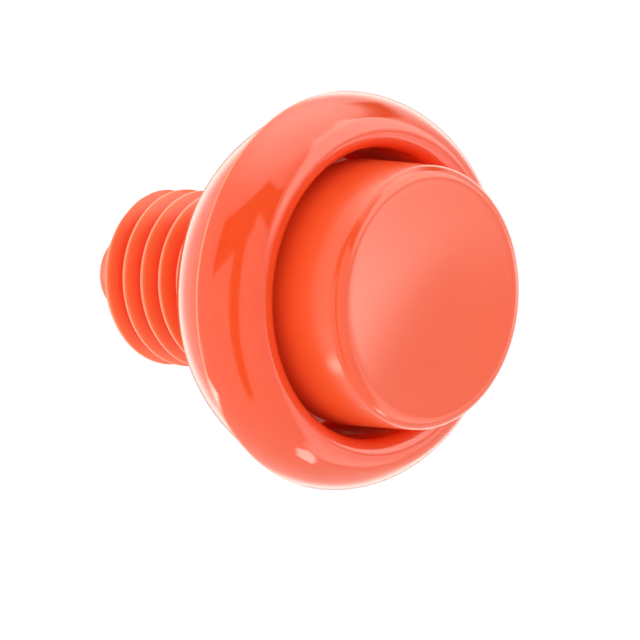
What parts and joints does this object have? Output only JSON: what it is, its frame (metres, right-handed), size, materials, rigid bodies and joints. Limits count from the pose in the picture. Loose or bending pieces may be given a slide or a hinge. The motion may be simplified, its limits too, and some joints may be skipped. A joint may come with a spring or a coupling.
{
  "type": "arcade button",
  "caption": "Round panel push button: a wide rounded bezel with a sprung, slightly dished cap, and a threaded shank that passes through the panel.",
  "frame": {"origin": "centre of the flat rear face of the collar, which seats on the panel", "axes": "+Z along the press axis, out of the panel toward the finger"},
  "size_m": [0.035, 0.035, 0.0389],
  "materials": {
    "housing": "gloss",
    "plunger": "gloss",
    "spring": "satin",
    "ring": "satin"
  },
  "bodies": {
    "housing": {"housing": "housing", "return_spring": "spring"},
    "plunger": {"plunger": "plunger", "retaining_ring": "ring"}
  },
  "joints": [
    {"name": "press", "type": "slide", "parent": "housing", "child": "plunger", "axis": [0, 0, -1], "range_m": [0, 0.0055], "stiffness_N_per_m": 350, "springref_m": -0.005, "deforming": ["return_spring"]}
  ]
}
